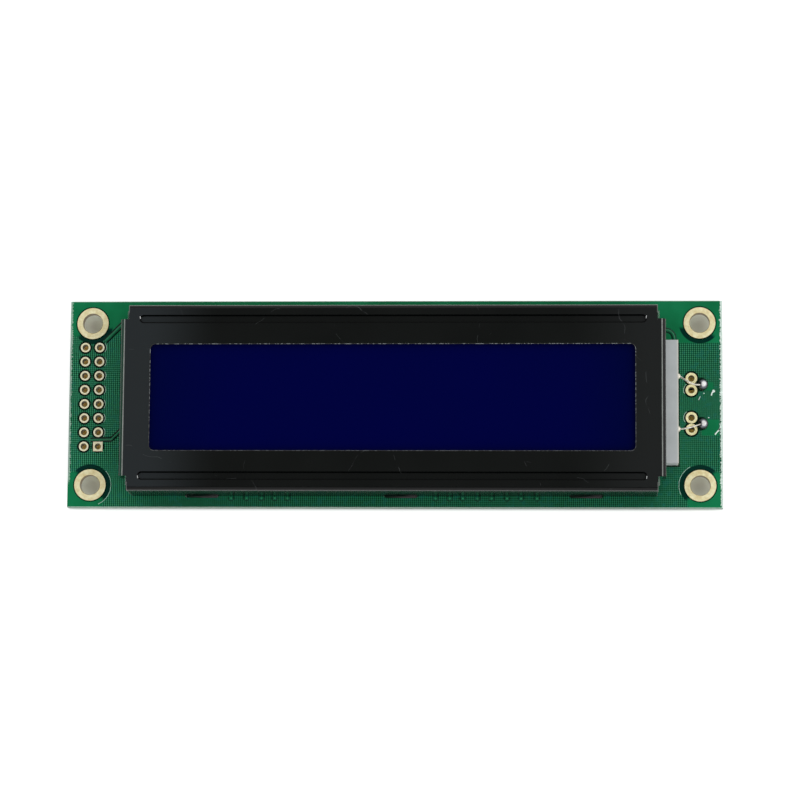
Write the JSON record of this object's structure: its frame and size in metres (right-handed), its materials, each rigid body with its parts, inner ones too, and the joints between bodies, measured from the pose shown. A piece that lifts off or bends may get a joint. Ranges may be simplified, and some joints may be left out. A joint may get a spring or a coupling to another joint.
{
  "type": "character lcd module",
  "caption": "Two-line character LCD module: black folded bezel with a dark blue blank display window on a green circuit board with corner mounting holes and solder pads.",
  "frame": {"origin": "under the centre of the board, level with the tips of the bezel's rear tabs", "axes": "+X along the lines of text, +Y up the display, +Z out of the display's face"},
  "size_m": [0.116, 0.037, 0.0121],
  "materials": {
    "solder_mask": "gloss",
    "gold_plating": "satin",
    "black_steel": "satin",
    "display_film": "gloss",
    "glass": "gloss",
    "resin": "satin",
    "connector_rubber": "matte",
    "white_film": "matte",
    "clear_acrylic": "gloss",
    "white_plastic": "satin",
    "lamp_laminate": "satin",
    "lamp_resin": "gloss",
    "tinned_wire": "polished",
    "solder": "polished",
    "black_resin": "satin",
    "resistor_ceramic": "satin",
    "capacitor_ceramic": "satin"
  },
  "bodies": {
    "root": {"circuit_board": "solder_mask", "mounting_rings": "gold_plating", "interface_pads": "gold_plating", "pin_one_pad": "gold_plating", "spare_lamp_pads": "gold_plating", "terminal_pads": "gold_plating", "upper_contacts": "gold_plating", "lower_contacts": "gold_plating", "bezel": "black_steel", "front_polarizer": "display_film", "front_glass": "glass", "cell_seal": "resin", "port_plug": "resin", "rear_glass": "glass", "rear_polarizer": "display_film", "upper_connector_strip": "connector_rubber", "lower_connector_strip": "connector_rubber", "diffuser_film": "white_film", "light_guide": "clear_acrylic", "reflector_film": "white_film", "backlight_housing": "white_plastic", "lamp_board": "lamp_laminate", "lamps": "lamp_resin", "upper_lead": "tinned_wire", "lower_lead": "tinned_wire", "lead_beads": "solder", "terminal_solder": "solder", "controller_cap": "black_resin", "driver_cap": "black_resin", "resistor_bodies": "resistor_ceramic", "resistor_ends": "solder", "capacitor_bodies": "capacitor_ceramic", "capacitor_ends": "solder"}
  },
  "joints": []
}
